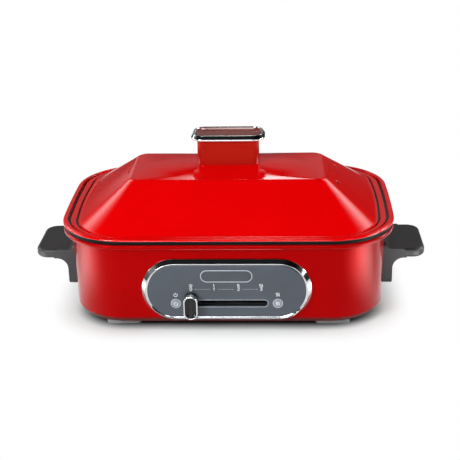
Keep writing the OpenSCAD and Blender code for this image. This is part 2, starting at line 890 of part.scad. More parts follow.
// Internal leads: inlet to block, block to thermostat, block by way of the fuse to the element
lead_wire_r = 1.1;
wire_up = 3;
wire_z = foot_h + wire_up;
inlet_deep = 30;
inlet_in = cy + inlet_deep;
module wiring()
    color([0.5, 0.1, 0.1]) {
        for (i = [-1, 0, 1])
            lead([[i * 8, block_y + block.y, wire_z], [i * 8, inlet_in - 12, wire_z],
                [i * 8, inlet_in - 12, inlet_z - 4], [i * 8, inlet_in, inlet_z - 4]], lead_wire_r);
        for (i = [-1, 1])
            lead([[i * 9, block_y, wire_z], [i * 9, spindle_y + thermostat_half.y, wire_z]], lead_wire_r);
        lead([[block.x / 2, block_y + 4, wire_z], [fuse_at.x - 14, block_y + 4, wire_z],
            [fuse_at.x - 14, fuse_at.y, tray_z - 1.2 - fuse_r],
            [fuse_at.x - fuse_half, fuse_at.y, tray_z - 1.2 - fuse_r]], lead_wire_r);
        lead([[fuse_at.x + fuse_half, fuse_at.y, tray_z - 1.2 - fuse_r],
            [fuse_at.x + 14, fuse_at.y, tray_z - 1.2 - fuse_r],
            [fuse_at.x + 14, loop.y, wire_z + 4], [lead_x + pin_r, loop.y, wire_z + 4]], lead_wire_r);
        lead([[-block.x / 2, block_y + 4, wire_z], [-block.x / 2 - 12, block_y + 4, wire_z],
            [-block.x / 2 - 12, loop.y, wire_z + 4], [-lead_x - pin_r, loop.y, wire_z + 4]],
            lead_wire_r);
    }

// Mains inlet: body through the back wall, and a rounded shroud round three pins
socket_floor = inlet_y - socket_deep;
inlet_seat = cy + wall_x(inlet_z + inlet_h / 2);
module inlet_housing()
    color([0.07, 0.07, 0.072])
        difference() {
            union() {
                difference() {
                    rear()
                        translate([0, inlet_z, 0])
                            slab(inlet_w / 2 - inlet_r, inlet_h / 2 - inlet_r, inlet_r, inlet_in, inlet_y);
                    mirror([0, 1, 0])
                        wall_front();
                }
                rear()
                    translate([0, inlet_z, 0])
                        slab(inlet_body_w / 2 - inlet_r, inlet_body_h / 2 - inlet_r, inlet_r, inlet_in,
                            inlet_seat + 1);
            }
            rear()
                translate([0, inlet_z, 0])
                    slab(inlet_body_w / 2 - inlet_wall - 2, inlet_body_h / 2 - inlet_wall - 2, 2,
                        socket_floor, inlet_y + past);
        }

blade = [4, 2];
blade_at = [7, 2.6];
module inlet_pins()
    color([0.78, 0.74, 0.6])
        rear()
            translate([0, inlet_z, socket_floor]) {
                pair(blade_at.x)
                    translate([-blade.x / 2, -blade_at.y - blade.y / 2, 0])
                        cube([blade.x, blade.y, socket_deep - 6]);
                translate([-blade.x / 2, blade_at.y - blade.y / 2, 0])
                    cube([blade.x, blade.y, socket_deep - 5]);
            }

// Cooking pan: drafted walls, wide floor radius, flange resting on the base rim
flange_in = 1.2;
pan_gap = 2.6;
pan_taper = 6;
pan_top_x = wall_x(cove_z) - wall_t - pan_gap;
pan_low_x = pan_top_x - pan_taper;
pan_path = [[0, pan_z, 0], [pan_low_x, pan_z, 16], [pan_top_x, body_h, 1.2]];
pan_inner = far_side(pan_path, pan_t);
mouth_flare = 0.4;
pan_mouth = pan_top_x - pan_t + mouth_flare;
module cooking_pan()
    color([0.045, 0.045, 0.047])
        filled(cx, cy, pan_z, pan_z + pan_t)
            polygon(rounded(concat(pan_path, [[rim_r - flange_in, body_h, 0.6],
                [rim_r - flange_in, flange_z, 1], [pan_mouth, flange_z, 1.6],
                pan_inner[1], pan_inner[0]])));

// Lid: lip and channel swept round the rim axes, dome swept round its own closer axes
plateau_r = 6.2;
foot_r_lid = plateau_r + dome_run;
channel_in = 1.6;
channel_x = pan_mouth - channel_in;
dx = cx + channel_x - foot_r_lid;
dy = cy + channel_x - foot_r_lid;
brim = 4;
rib_t = 1.8;
rib_h = 3.5;
rib_gap = 1;
rib_x = pan_mouth - rib_gap;
slope = atan(dome_rise / dome_run);
vent_at = [dx + plateau_r + dome_run * 0.25, 25, plateau_z - dome_rise * 0.25];
knob_screw_in = 17;
knob_screw_x = neck_w / 2 - knob_screw_in;
knob_screw_r = 2;

// Crown of the plateau: two wide cylinders, one bowed each way, meet in a shallow vault
crown_edge = 2.6;
crown_r = plateau_r - crown_edge;
crown_t = lid_t + 0.6;
crown_z = plateau_z + crown_h;
function bow(half) = (half * half + crown_h * crown_h) / (2 * crown_h);
bow_x = bow(dx + crown_r);
bow_y = bow(dy + crown_r);
bow_steps = 720;
// Flat seat of the knob in the crown, and the flat pads under it for the screw washers
seat_in = 1;
seat_z = crown_z - seat_in;
pad_t = 2.1;
pad_z = seat_z - pad_t;
washer_r = 5.5;
washer_t = 1;
module vault(inset, lo, sink)
    intersection() {
        slab(dx, dy, crown_r - inset, lo, crown_z);
        translate([0, 0, crown_z - bow_x])
            rotate([90, 0, 0])
                cylinder(r = bow_x - sink, h = 2 * rim_hd, center = true, $fn = bow_steps);
        translate([0, 0, crown_z - bow_y])
            rotate([0, 90, 0])
                cylinder(r = bow_y - sink, h = 2 * rim_hw, center = true, $fn = bow_steps);
    }

dome_path = [[foot_r_lid + brim, floor_z, 0], [foot_r_lid, floor_z, 2.5],
    [plateau_r, plateau_z, 7], [0, plateau_z, 0]];
module lid_shell()
    color([0.82, 0.02, 0.03])
        difference() {
            union() {
                ring(cx, cy)
                    polygon(rounded([[channel_x, flange_z, 0], [rim_r, flange_z, 1.2],
                        [rim_r, lip_z, 2.1], [rim_r - lip_w, lip_z, 2.1],
                        [rim_r - lip_w - 0.6, floor_z, 0.9], [channel_x, floor_z, 0]]));
                ring(cx, cy)
                    translate([rib_x - rib_t, flange_z - rib_h])
                        square([rib_t, rib_h + lid_t * 0.6]);
                difference() {
                    union() {
                        filled(dx, dy, plateau_z - lid_t, plateau_z)
                            polygon(sheet(dome_path, lid_t));
                        vault(0, plateau_z - lid_t / 2, 0);
                    }
                    vault(crown_t, plateau_z - lid_t - past, crown_t);
                }
                pair(knob_screw_x)
                    translate([0, 0, pad_z])
                        cylinder(r = washer_r + 1, h = pad_t);
            }
            slab(neck_axes.x, neck_axes.y, neck_r + fit, seat_z, crown_z + past);
            for (j = [-1, 1])
                translate([vent_at.x, j * vent_at.y, vent_at.z])
                    rotate([0, slope, 0]) {
                        cylinder(r = vent_r, h = 6 * lid_t, center = true);
                        translate([0, 0, -lid_t * 0.4])
                            cylinder(r1 = vent_r, r2 = vent_r + lid_t, h = lid_t);
                    }
            pair(knob_screw_x)
                translate([0, 0, pad_z - past])
                    cylinder(r = knob_screw_r + fit, h = pad_t + 2 * past);
        }

// Lid knob: hollow neck with screw bosses, flared cap ring, dished inlay
neck_r = 7.5;
neck_t = 2.4;
neck_axes = [neck_w / 2 - neck_r, neck_d / 2 - neck_r];
neck_z = seat_z + neck_h;
boss_r = 4.5;
screw_deep = 13;
cap_z = neck_z + cap_h;
ring_w = 4.2;
inlay_r = neck_r + cap_out - ring_w;
module knob_neck()
    color([0.72, 0.03, 0.03])
        difference() {
            union() {
                filled(neck_axes.x, neck_axes.y, neck_z - neck_t, neck_z)
                    polygon([[0, neck_z], [0, neck_z - neck_t], [neck_r - neck_t, neck_z - neck_t],
                        [neck_r - neck_t, seat_z], [neck_r, seat_z], [neck_r, neck_z]]);
                pair(knob_screw_x)
                    translate([0, 0, seat_z])
                        cylinder(r = boss_r, h = neck_h - neck_t / 2);
            }
            pair(knob_screw_x)
                translate([0, 0, seat_z - past])
                    cylinder(r = knob_screw_r + fit / 2, h = screw_deep + 2 * past);
        }

module knob_cap_ring()
    color([0.8, 0.8, 0.82])
        ring(neck_axes.x, neck_axes.y)
            polygon(rounded([[neck_r - 3, neck_z, 0], [neck_r + 0.6, neck_z, 0.4],
                [neck_r + cap_out, neck_z + 1.6, 0.7], [neck_r + cap_out, neck_z + 3, 1],
                [neck_r + cap_out - 2.4, cap_z, 0.8], [inlay_r + fit, cap_z, 0.5],
                [inlay_r + fit, neck_z + 2.4, 0], [neck_r - 3, neck_z + 2.4, 0]]));

dish = [0, 0.15, 0.7, 1.7];
inlay_low = neck_z + 2.4;
module knob_inlay()
    color([0.6, 0.06, 0.05])
        filled(neck_axes.x, neck_axes.y, inlay_low, cap_z - 2.4 + dish[0])
            polygon(concat([[0, inlay_low], [inlay_r, inlay_low], [inlay_r, cap_z - 2.4 + dish[3]]],
                [for (i = [2:-1:0]) [inlay_r * i / 3, cap_z - 2.4 + dish[i]]]));

module knob_screws()
    color([0.68, 0.68, 0.7])
        pair(knob_screw_x)
            translate([0, 0, pad_z]) {
                translate([0, 0, -washer_t])
                    cylinder(r = washer_r, h = washer_t);
                translate([0, 0, -washer_t - 2.4])
                    cylinder(r = 3.8, h = 2.4);
                translate([0, 0, -washer_t])
                    cylinder(r = knob_screw_r, h = washer_t + pad_t + screw_deep);
            }

outer_shell();
bottom_cover();
cover_screws();
feet();
left_handle();
right_handle();
handle_screws();
control_bezel();
control_panel();
badge_plate();
control_chassis();
power_lamp();
heat_lamp();
lamp_boards();
thermostat_body();
reflector_tray();
tray_posts();
heating_element();
element_supports();
element_terminals();
sensor_guide();
thermal_fuse();
terminal_block();
wiring();
inlet_housing();
inlet_pins();
sensor_plunger();
sensor_spring();
thermostat_pinion();
slide_carriage();
slide_knob();
knob_trim();
cooking_pan();
lid_shell();
knob_neck();
knob_cap_ring();
knob_inlay();
knob_screws();
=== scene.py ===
import json
import math

import bmesh
import bpy
from mathutils import Matrix, Vector


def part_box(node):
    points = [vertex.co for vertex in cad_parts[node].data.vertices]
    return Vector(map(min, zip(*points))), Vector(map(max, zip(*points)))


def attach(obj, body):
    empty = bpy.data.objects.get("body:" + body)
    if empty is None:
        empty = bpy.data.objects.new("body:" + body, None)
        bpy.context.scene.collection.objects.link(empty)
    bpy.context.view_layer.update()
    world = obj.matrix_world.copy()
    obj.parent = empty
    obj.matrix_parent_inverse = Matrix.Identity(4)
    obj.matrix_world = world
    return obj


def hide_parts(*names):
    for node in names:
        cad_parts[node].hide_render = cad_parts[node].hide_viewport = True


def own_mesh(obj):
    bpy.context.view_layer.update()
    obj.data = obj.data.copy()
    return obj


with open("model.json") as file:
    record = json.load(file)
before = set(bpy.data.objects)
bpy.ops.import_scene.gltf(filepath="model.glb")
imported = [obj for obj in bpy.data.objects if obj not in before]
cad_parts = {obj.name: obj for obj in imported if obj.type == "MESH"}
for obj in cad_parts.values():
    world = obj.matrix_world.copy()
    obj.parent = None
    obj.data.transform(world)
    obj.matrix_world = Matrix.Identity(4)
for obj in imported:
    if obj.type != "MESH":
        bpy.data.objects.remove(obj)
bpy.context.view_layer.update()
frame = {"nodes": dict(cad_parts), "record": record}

MM = 0.001


def linear(hex_colour):
    """An sRGB hex colour as linear red, green, blue and alpha."""
    parts = [int(hex_colour[i:i + 2], 16) / 255 for i in (1, 3, 5)]
    return [c / 12.92 if c <= 0.04045 else ((c + 0.055) / 1.055) ** 2.4 for c in parts] + [1.0]


def add(tree, kind, settings=None, inputs=None):
    """Adds a node: settings are its own values, inputs are socket values or (node, socket) links."""
    made = tree.nodes.new(kind)
    for key, value in (settings or {}).items():
        setattr(made, key, value)
    for key, value in (inputs or {}).items():
        if isinstance(value, tuple) and isinstance(value[0], bpy.types.Node):
            tree.links.new(value[0].outputs[value[1]], made.inputs[key])
        else:
            made.inputs[key].default_value = value
    return made


def fade(tree, value, start, end, first=0.0, last=1.0):
    """A smooth change from first to last as a value goes from start to end; both are (node, socket)."""
    made = add(tree, "ShaderNodeMapRange", {"interpolation_type": "SMOOTHSTEP"}, {
        "Value": value, "From Min": start, "From Max": end, "To Min": first, "To Max": last})
    return made, "Result"


# A Mix node's colours and its result by number, since sockets of other types share their names
MIX_FIRST, MIX_SECOND, MIX_RESULT = 6, 7, 2


def blend(tree, share, first, second):
    """A colour that goes from first to second with a share; the colour and the share are (node, socket)."""
    mixed = add(tree, "ShaderNodeMix", {"data_type": "RGBA"}, {
        "Factor": share, MIX_FIRST: first, MIX_SECOND: second})
    return mixed, MIX_RESULT


def per_mm(size):
    """Texture scale that repeats a pattern every size millimetres in the metre frame."""
    return 1 / (size * MM)


# Span of the noise over which a finish drifts from its first colour and roughness to its second
DRIFT_LOW, DRIFT_HIGH = 0.3, 0.7
# Strength of a fleck, and the share of its reach that has it in full
FLECK_STRENGTH, FLECK_CORE = 0.8, 0.5


def finish(name, colours, rough, patch_mm, grain_mm, grain_depth_mm, stretch=(1, 1, 1), fleck=None, low=None,
           **shader):
    """A finish: a colour that drifts over patches, a roughness range, a grain and, if given, flecks.

    stretch scales the pattern along each axis; the other keywords set the shader's sockets by name.
    fleck is the flecks' colour, their spacing in mm and their reach as a share of that spacing.
    low is a painted shade at the lower edge: its colour, and the heights in mm where it starts to fade and
    has gone.
    """
    made = bpy.data.materials.new(name)
    made.use_nodes = True
    tree = made.node_tree
    tree.nodes.clear()
    place = add(tree, "ShaderNodeTexCoord")
    scaled = add(tree, "ShaderNodeMapping", None, {"Vector": (place, "Object"), "Scale": stretch})
    drift = add(tree, "ShaderNodeTexNoise", None, {
        "Vector": (scaled, "Vector"), "Scale": per_mm(patch_mm), "Detail": 3.0, "Roughness": 0.55})
    tint = add(tree, "ShaderNodeValToRGB", None, {"Fac": (drift, "Fac")})
    for stop, position, hex_colour in zip(tint.color_ramp.elements, (DRIFT_LOW, DRIFT_HIGH), colours):
        stop.position = position
        stop.color = linear(hex_colour)
    colour = (tint, "Color")
    if fleck:
        fleck_colour, spacing, fleck_reach = fleck
        cells = add(tree, "ShaderNodeTexVoronoi", None, {
            "Vector": (place, "Object"), "Scale": per_mm(spacing)})
        spot = add(tree, "ShaderNodeMapRange", None, {
            "Value": (cells, "Distance"), "From Min": fleck_reach, "From Max": fleck_reach * FLECK_CORE,
            "To Min": 0.0, "To Max": FLECK_STRENGTH})
        colour = blend(tree, (spot, "Result"), colour, linear(fleck_colour))
    # Painted shade: a darker colour below a given height, standing in for shade at a foot or in grooves
    if low:
        painted_shade_colour, fade_from, fade_to = low
        height = add(tree, "ShaderNodeSeparateXYZ", None, {"Vector": (place, "Object")})
        above = fade(tree, (height, "Z"), fade_from * MM, fade_to * MM)
        colour = blend(tree, above, linear(painted_shade_colour), colour)
    haze = add(tree, "ShaderNodeMapRange", None, {
        "Value": (drift, "Fac"), "From Min": DRIFT_LOW, "From Max": DRIFT_HIGH,
        "To Min": rough[0], "To Max": rough[1]})
    grain = add(tree, "ShaderNodeTexNoise", None, {
        "Vector": (scaled, "Vector"), "Scale": per_mm(grain_mm), "Detail": 2.0, "Roughness": 0.5})
    relief = add(tree, "ShaderNodeBump", None, {
        "Height": (grain, "Fac"), "Strength": 1.0, "Distance": grain_depth_mm * MM})
    surface = add(tree, "ShaderNodeBsdfPrincipled", None, {
        "Base Color": colour, "Roughness": (haze, "Result"), "Normal": (relief, "Normal")})
    for key, value in shader.items():
        surface.inputs[key.replace("_", " ")].default_value = value
    add(tree, "ShaderNodeOutputMaterial", None, {"Surface": (surface, "BSDF")})
    return made


# Heights in mm over which a painted shade, a darker enamel, gives way to the full red, at the foot and in the
# lid's grooves
FOOT_SHADE = (11.4, 12.8)
GROOVE_SHADE = (95.5, 96.1)

# Stove enamel sprayed on a drawn steel shell: deep red under a wet gloss, faint orange peel, its red painted
# darker than the lid's as shade, and a painted shade where the wall turns under at the foot.
body_enamel = finish("stove_enamel_sprayed_on_steel_shell", ("#900103", "#980204"), (0.07, 0.11), 70, 5,
                     0.004, low=("#560001", *FOOT_SHADE), IOR=1.52, Specular_Tint=linear("#FF2E28"))
# The same enamel on the pressed lid, its red painted brighter than the body's as the light the lid catches
# from above, and a painted shade in the channel's grooves and along the rim's lower edge.
lid_enamel = finish("stove_enamel_sprayed_on_lid", ("#D60002", "#DE0103"), (0.06, 0.10), 80, 5, 0.004,
                    low=("#2A0203", *GROOVE_SHADE), IOR=1.5)
# Phenolic moulded and polished: brown-red, harder and drier in its gloss than the enamel.
knob_red = finish("phenolic_moulded_polished_red", ("#94100A", "#9E150B"), (0.10, 0.16), 30, 3, 0.002,
                  IOR=1.55, Specular_Tint=linear("#FF5A44"))
# The same phenolic on the knob's dished top, browner where steam and hands have dulled it.
inlay_brown = finish("phenolic_moulded_polished_brown", ("#743026", "#80382C"), (0.12, 0.18), 20, 3, 0.002,
                     IOR=1.55)
# Chrome plate on moulded ABS: a bright mirror with the slightest haze.
chrome = finish("chrome_plate_on_abs", ("#DDE0E2", "#E6E8EA"), (0.04, 0.08), 25, 4, 0.001, Metallic=1.0)
# ABS sprayed satin blue grey: an even fine tooth and a soft sheen, no mirror.
panel_grey = finish("abs_satin_sprayed_panel", ("#40464E", "#474D56"), (0.32, 0.40), 40, 1.0, 0.005,
                    IOR=1.46)
# The same sprayed ABS on the badge, a shade deeper.
badge_grey = finish("abs_satin_sprayed_badge", ("#3E434B", "#444A52"), (0.30, 0.38), 18, 1.0, 0.005,
                    IOR=1.46)
# Screen ink on the panel: pale grey, matt, slightly broken at its edges.
mark_ink = finish("screen_ink_printed_pale", ("#DCE0E4", "#E8EBEE"), (0.45, 0.55), 3, 0.9, 0.004, IOR=1.48)
# Foil hot-stamped round the badge and the lamps: pale grey metal lacquer with a soft shine.
stamped_foil = finish("foil_hot_stamped_silver", ("#A9B0B8", "#B8BEC5"), (0.26, 0.36), 6, 0.9, 0.003,
                      IOR=1.5)
# Matt moulded ABS for the parts behind the panel and the inlet.
black_plastic = finish("abs_moulded_matt_black", ("#161719", "#1D1E20"), (0.48, 0.60), 25, 1.0, 0.02,
                       IOR=1.46)
# Phenolic moulded in a spark-textured tool: dark grey, sand grain drawn coarser than its 0.1 mm.
handle_grey = finish("phenolic_moulded_spark_textured", ("#272729", "#303032"), (0.36, 0.46), 30, 1.1, 0.02,
                     IOR=1.5)
# Polished black ABS on the slide knob.
knob_black = finish("abs_moulded_polished_black", ("#0B0B0C", "#121213"), (0.14, 0.22), 12, 1.0, 0.003,
                    IOR=1.46)
# Frosted acrylic lens: milky grey while the lamp is off.
lamp_lens = finish("acrylic_moulded_frosted", ("#767D86", "#858C95"), (0.25, 0.35), 4, 0.8, 0.004, IOR=1.49)
# Glass epoxy board under green lacquer, the weave drawn coarser than real.
board_green = finish("glass_epoxy_lacquered", ("#1C5A36", "#24683F"), (0.30, 0.40), 6, 0.7, 0.01, IOR=1.5)
# Natural nylon: cream, a little waxy.
cream_plastic = finish("nylon_moulded_natural", ("#D4CFC0", "#DDD8CA"), (0.45, 0.55), 15, 1.2, 0.01,
                       IOR=1.53)
# Silicone rubber sleeve on the leads: dull dark red, drawn smooth.
wire_sleeve = finish("silicone_rubber_drawn_sleeve", ("#7E1A18", "#8C211E"), (0.50, 0.62), 12, 0.9, 0.015,
                     IOR=1.41)
# Grey rubber foot: soft, dusty, no shine.
foot_rubber = finish("rubber_moulded_grey", ("#7C7D80", "#88898C"), (0.62, 0.75), 10, 0.9, 0.03, IOR=1.52)
# Powder coat on the sheet steel cover: dark grey with a fine pebble.
cover_steel = finish("powder_coat_on_sheet_steel", ("#2A2A2C", "#333335"), (0.50, 0.62), 25, 1.4, 0.03,
                     IOR=1.5)
# Rolled aluminium sheet: long roller streaks along its length.
bright_sheet = finish("aluminium_rolled_bright", ("#C4C5C7", "#D2D3D5"), (0.20, 0.32), 3, 1.0, 0.004,
                      (0.05, 1, 1), Metallic=1.0)
# Zinc plate on steel: pale grey with a cloudy bloom.
zinc_steel = finish("steel_zinc_plated", ("#AEB0B4", "#C2C4C6"), (0.26, 0.40), 5, 0.9, 0.006, Metallic=1.0)
# Nickel alloy sheath oxidised by heat: brown-black patches.
element_sheath = finish("nickel_alloy_tube_oxidised", ("#3A3A3C", "#4E4A46"), (0.36, 0.50), 8, 0.9, 0.008,
                        Metallic=1.0)
# Brass pin under nickel: warm yellow-grey, drawn bright.
brass_pin = finish("brass_nickel_plated", ("#BFA774", "#D0BC8C"), (0.18, 0.30), 6, 0.9, 0.004, Metallic=1.0)
# Non-stick coat sprayed on cast aluminium: near black with pale stone flecks.
pan_coating = finish("nonstick_sprayed_on_aluminium", ("#0A0A0B", "#101011"), (0.34, 0.46), 9, 1.0, 0.012,
                     fleck=("#48484A", 2.6, 0.13), IOR=1.38, Specular_IOR_Level=0.12)

dressed = {
    "body_enamel": body_enamel, "lid_enamel": lid_enamel, "knob_red": knob_red, "chrome_plate": chrome,
    "panel_grey": panel_grey, "badge_grey": badge_grey, "black_plastic": black_plastic,
    "handle_phenolic": handle_grey, "knob_black": knob_black, "lamp_lens": lamp_lens,
    "board_green": board_green, "cream_plastic": cream_plastic, "wire_sleeve": wire_sleeve,
    "foot_rubber": foot_rubber, "cover_steel": cover_steel, "bright_sheet": bright_sheet,
    "zinc_steel": zinc_steel, "element_sheath": element_sheath, "brass_pin": brass_pin,
    "pan_coating": pan_coating}
# Nodes that don't have the finish of their material slot: the knob's top, and the cream nylon parts that show
# through the panel, dressed black as painted shade in the slot
knob_top_finish_and_painted_slot_shade = {
    "knob_inlay": inlay_brown, "slide_carriage": black_plastic, "thermostat_body": black_plastic,
    "thermostat_pinion": black_plastic}
for part in frame["record"]["subparts"]:
    node = part["node"]
    for slot in frame["nodes"][node].material_slots:
        slot.material = knob_top_finish_and_painted_slot_shade.get(node, dressed[part["material_slot"]])


def piece(name, points, faces, material, body, slot):
    """A new piece from points in millimetres, which rides on a body."""
    mesh = bpy.data.meshes.new(name)
    mesh.from_pydata([Vector(p) * MM for p in points], [], faces)
    mesh.materials.append(material)
    made = bpy.data.objects.new(name, mesh)
    bpy.context.collection.objects.link(made)
    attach(made, body)
    return made


def eased(corners, steps=7):
    """A run of (out, up, radius) corners with each one rounded to its radius."""
    run = []
    for k, (out, up, radius) in enumerate(corners):
        corner = Vector((out, up))
        if radius == 0 or k in (0, len(corners) - 1):
            run.append((out, up))
            continue
        before = (Vector(corners[k - 1][:2]) - corner).normalized()
        after = (Vector(corners[k + 1][:2]) - corner).normalized()
        half = before.angle(after) / 2
        middle = corner + (before + after).normalized() * (radius / math.sin(half))
        start = corner + before * (radius / math.tan(half)) - middle
        end = corner + after * (radius / math.tan(half)) - middle
        for i in range(steps + 1):
            run.append(tuple(middle + start.lerp(end, i / steps).normalized() * radius))
    return run


# Steps round a corner of an outline, and along its long sides and its ends
CORNER_STEPS = 14
SIDE_STEPS = (18, 8)


def outline(ax, ay, radius, bow):
    """Plan points of a rounded rectangle round its corner axes, anticlockwise, its ends bowed out."""
    points = []
    for k, (sx, sy) in enumerate(((1, 1), (-1, 1), (-1, -1), (1, -1))):
        for i in range(CORNER_STEPS + 1):
            a = math.radians(90 * (k + i / CORNER_STEPS))
            points.append(Vector((sx * ax + radius * math.cos(a), sy * ay + radius * math.sin(a))))
        nx, ny = ((-1, 1), (-1, -1), (1, -1), (1, 1))[k]
        a = math.radians(90 * (k + 1))
        start = points[-1]
        end = Vector((nx * ax + radius * math.cos(a), ny * ay + radius * math.sin(a)))
        steps = SIDE_STEPS[k % 2]
        points += [start.lerp(end, i / steps) for i in range(1, steps)]
    half_x, half_y = ax + radius, ay + radius
    for at in points:
        at.x += bow * at.x / half_x * (1 - (at.y / half_y) ** 2)
    return points


# Lid: pressed sheet with a rolled lip, a channel of two grooves, four hipped slopes and a crowned plateau.
# Rings are corner axes, plan radius, bow of the ends, height and lift, all but the lift in millimetres.
LIP_BOW = 3.3
RIM_AXES = (97.6, 45.0)
RIM_RADIUS = 63.0
FLANGE_UP = 95.0
LIP_UP = 97.7
LIP_WIDTH = 5.0
PLATEAU_HALF, PLATEAU_RADIUS, PLATEAU_UP = (96.6, 44.7), 11.0, 134.2
FOOT_HALF, FOOT_RADIUS, FOOT_BOW, FOOT_UP = (138.0, 100.5), 42.0, 9.0, 97.3
CHANNEL_UP, GROOVE_UP = 96.6, 95.2
# Share of the way from the dome's foot to the lip, height and lift of each corner of the channel
CHANNEL = ((0.17, FOOT_UP, 1), (0.18, GROOVE_UP, 0), (0.34, GROOVE_UP, 0), (0.36, CHANNEL_UP, 1),
           (0.76, CHANNEL_UP, 1), (0.78, GROOVE_UP, 0), (0.99, GROOVE_UP, 0))
# The lip stands higher towards the back of the lid; lift is how far a ring follows it
BACK_RISE = 3.7
# Rise of the crown over the plateau's edge, and the sheet's thickness there
CROWN_RISE = 6.4
CROWN_SKIN = 2.3
CROWN_SLOPE = 2 * CROWN_RISE / PLATEAU_HALF[1]
# Insets from the plateau's edge at which the crown has a ring
CROWN_STEPS = (44.2, 42, 39, 36, 32, 28, 24, 20, 16, 13, 10, 7.5, 5.5, 4.2, 3.1)
# The crown falls away more slowly to the ends than to the front and back, and its corners soon grow round
CROWN_STRETCH = 1.8
CROWN_ROUNDING = 4.0
# Inset at which the crown runs into the rounded shoulder
CREST = 2.0
SHOULDER_ROUND, FOOT_ROUND = 12.0, 3.0
LIP_INSIDE = RIM_RADIUS - LIP_WIDTH
# Corners of the lip: out from the rim's corner axes, height and rounding
LIP_SECTION = ((LIP_INSIDE, CHANNEL_UP, 0), (LIP_INSIDE + 0.1, LIP_UP, 0.7), (60.4, LIP_UP - 0.35, 1.0),
               (RIM_RADIUS, LIP_UP, 1.9), (RIM_RADIUS, FLANGE_UP, 0))
# Points of the lip's lower edge and of the skirt that drops into the pan: out from the same axes, and height
EDGE = ((RIM_RADIUS, FLANGE_UP + 0.5), (RIM_RADIUS - 0.15, FLANGE_UP + 0.15), (RIM_RADIUS - 0.5, FLANGE_UP))
SKIRT_OUTSIDE, SKIRT_INSIDE, SKIRT_LOW, SKIRT_TOP = 46.6, 44.8, 91.5, 95.4
SKIRT_EASE = 0.2
SKIRT = ((SKIRT_OUTSIDE, FLANGE_UP), (SKIRT_OUTSIDE, SKIRT_LOW + SKIRT_EASE),
         (SKIRT_OUTSIDE - SKIRT_EASE, SKIRT_LOW), (SKIRT_INSIDE + SKIRT_EASE, SKIRT_LOW),
         (SKIRT_INSIDE, SKIRT_LOW + SKIRT_EASE), (SKIRT_INSIDE, SKIRT_TOP))
# Corners of the underside of the slopes: out from its own corner axes, height and rounding
UNDER_AXES = (91.1, 38.5)
UNDER_SECTION = ((51.2, 95.48, 0), (5.27, 132.39, 3.0), (3.3, 132.95, 0))


def crown_ring(inset, sink):
    """Ring of the plateau at an inset from its edge, its corners growing rounder inwards."""
    hx = PLATEAU_HALF[0] - inset * CROWN_STRETCH
    hy = PLATEAU_HALF[1] - inset
    radius = min(hy, PLATEAU_RADIUS + (inset - CREST) * CROWN_ROUNDING)
    up = PLATEAU_UP + CROWN_RISE * (1 - (1 - inset / PLATEAU_HALF[1]) ** 2)
    return hx - radius, hy - radius, radius, 0, up - sink, 0


def between(near, far, share, up, lift):
    """Ring at a share of the way between two (half width, half depth, radius, bow) outlines."""
    hx, hy, radius, bow = (a + (b - a) * share for a, b in zip(near, far))
    return hx - radius, hy - radius, radius, bow, up, lift


def lid_rings():
    """The lid's skin as rings, from the middle of the top over the lip to the middle below."""
    plateau = (*PLATEAU_HALF, PLATEAU_RADIUS, 0)
    foot = (*FOOT_HALF, FOOT_RADIUS, FOOT_BOW)
    lip = (*(a + LIP_INSIDE for a in RIM_AXES), LIP_INSIDE, LIP_BOW)
    run = FOOT_HALF[1] - PLATEAU_HALF[1]
    rings = [crown_ring(inset, 0) for inset in CROWN_STEPS]
    rings += [between(plateau, foot, out / run, up, max(out / run, 0)) for out, up in eased([
        (-CREST, PLATEAU_UP + CREST * CROWN_SLOPE, 0), (0, PLATEAU_UP, SHOULDER_ROUND),
        (run, FOOT_UP, FOOT_ROUND), (run + FOOT_ROUND, FOOT_UP, 0)])[:-1]]
    rings += [between(foot, lip, *corner) for corner in CHANNEL]
    rings += [RIM_AXES + (out, LIP_BOW, up, 1) for out, up in eased(LIP_SECTION)[:-1]]
    rings += [RIM_AXES + (out, LIP_BOW, up, 0) for out, up in EDGE + SKIRT]
    rings += [UNDER_AXES + (out, LIP_BOW, up, 0) for out, up in eased(UNDER_SECTION)]
    rings += [crown_ring(inset, CROWN_SKIN) for inset in CROWN_STEPS[-2::-1]]
    return rings


def loft(rings):
    """Points and faces of a closed skin through rings of corner axes, radius, bow, height and lift."""
    depth = RIM_AXES[1] + RIM_RADIUS
    loops = [[(*at, up + lift * BACK_RISE * (at.y / depth + 1) / 2) for at in outline(ax, ay, radius, bow)]
             for ax, ay, radius, bow, up, lift in rings]
    count = len(loops[0])
    faces = [tuple(range(count))]
    for k in range(len(loops) - 1):
        low, high = k * count, (k + 1) * count
        faces += [(low + i, high + i, high + (i + 1) % count, low + (i + 1) % count) for i in range(count)]
    last = (len(loops) - 1) * count
    faces.append(tuple(last + i for i in reversed(range(count))))
    return [p for loop in loops for p in loop], faces


CREASE, WIRE_CREASE = 40, 50


def smoothed(made, crease_degrees):
    """Smooth shading that keeps creases and lets the large faces set the normals."""
    made.data.polygons.foreach_set("use_smooth", [True] * len(made.data.polygons))
    made.data.set_sharp_from_angle(angle=math.radians(crease_degrees))
    even = made.modifiers.new("even_normals", "WEIGHTED_NORMAL")
    even.keep_sharp = True


# The vents lie a share of the way down the right slope; their cutter is a run of radii and depths
VENT_DOWN = 0.25
VENT_APART = 25.0
VENT_RUN = FOOT_HALF[0] + FOOT_BOW - PLATEAU_HALF[0]
VENT_FALL = PLATEAU_UP - FOOT_UP - BACK_RISE / 2
VENT_AT = (PLATEAU_HALF[0] + VENT_DOWN * VENT_RUN, VENT_APART, PLATEAU_UP - VENT_DOWN * VENT_FALL)
VENT_NORMAL = Vector((VENT_FALL, 0, VENT_RUN)).normalized()
VENT_SECTION = ((2.2, -6.0), (2.2, -0.9), (2.6, -0.5), (4.4, 0.35), (4.4, 3.0))
VENT_SIDES = 24


